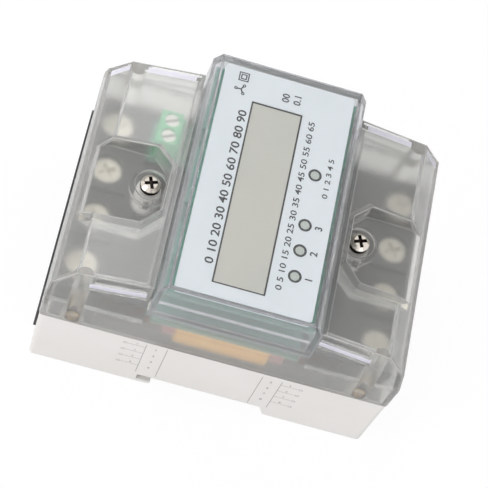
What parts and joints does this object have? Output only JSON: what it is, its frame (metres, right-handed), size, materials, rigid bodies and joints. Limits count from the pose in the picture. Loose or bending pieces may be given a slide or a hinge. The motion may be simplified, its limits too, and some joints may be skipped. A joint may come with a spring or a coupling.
{
  "type": "energy meter",
  "caption": "Energy meter for a mounting rail: white base, clear cover with winged sides and screw pockets, raised window over a display, wire entries along both long sides, sprung rail clips.",
  "frame": {"origin": "middle of the back plane, between the case's four sides", "axes": "+X across the rail towards the side of the sprung clips, +Y along the rail, +Z towards the front window"},
  "size_m": [0.1016, 0.075, 0.065],
  "materials": {
    "white_base": "warm white, fine satin",
    "clear_cover": "clear, slightly smoky plastic",
    "clear_window": "clear plastic",
    "panel": "bluish white with fine grey print",
    "display_glass": "grey-green blank display",
    "display_frame": "black",
    "board": "green solder mask",
    "lamp": "clear lens",
    "link": "black header",
    "chip": "black moulding",
    "film_capacitor": "yellow box",
    "storage_capacitor": "dark sleeve",
    "varistor": "red dip",
    "connector": "green",
    "terminal_block": "black",
    "cage": "tin-plated brass",
    "plated_screw": "nickel plated",
    "busbar": "copper",
    "transformer": "blue moulding",
    "zinc_screw": "zinc plated",
    "insert": "knurled brass",
    "clip": "white"
  },
  "bodies": {
    "case": {"base_housing": "white_base", "clear_cover": "clear_cover", "window_cover": "clear_window", "front_panel": "panel", "lcd_glass": "display_glass", "lcd_frame": "display_frame", "display_board": "board", "lamp_phase_1": "lamp", "lamp_phase_2": "lamp", "lamp_phase_3": "lamp", "lamp_pulse": "lamp", "main_board": "board", "board_link": "link", "metering_chip": "chip", "film_capacitor": "film_capacitor", "storage_capacitor": "storage_capacitor", "varistor_left": "varistor", "varistor_right": "varistor", "pulse_connector": "connector", "pulse_connector_screws": "plated_screw", "terminal_block_left": "terminal_block", "terminal_block_right": "terminal_block", "cage_left_1": "cage", "cage_left_2": "cage", "cage_left_3": "cage", "cage_left_4": "cage", "cage_right_1": "cage", "cage_right_2": "cage", "cage_right_3": "cage", "cage_right_4": "cage", "terminal_screws_left": "plated_screw", "terminal_screws_right": "plated_screw", "busbar_1": "busbar", "busbar_2": "busbar", "busbar_3": "busbar", "busbar_neutral": "busbar", "current_transformer_1": "transformer", "current_transformer_2": "transformer", "current_transformer_3": "transformer", "cover_screws": "plated_screw", "case_screws": "zinc_screw", "case_inserts": "insert"},
    "clip_near": {"rail_clip_near": "clip"},
    "clip_far": {"rail_clip_far": "clip"}
  },
  "joints": [
    {"name": "clip_near_slide", "type": "slide", "parent": "case", "child": "clip_near", "axis": [1, 0, 0], "range_m": [0, 0.0045], "stiffness_N_per_m": 1500, "springref_m": -0.0005},
    {"name": "clip_far_slide", "type": "slide", "parent": "case", "child": "clip_far", "axis": [1, 0, 0], "range_m": [0, 0.0045], "stiffness_N_per_m": 1500, "springref_m": -0.0005}
  ]
}
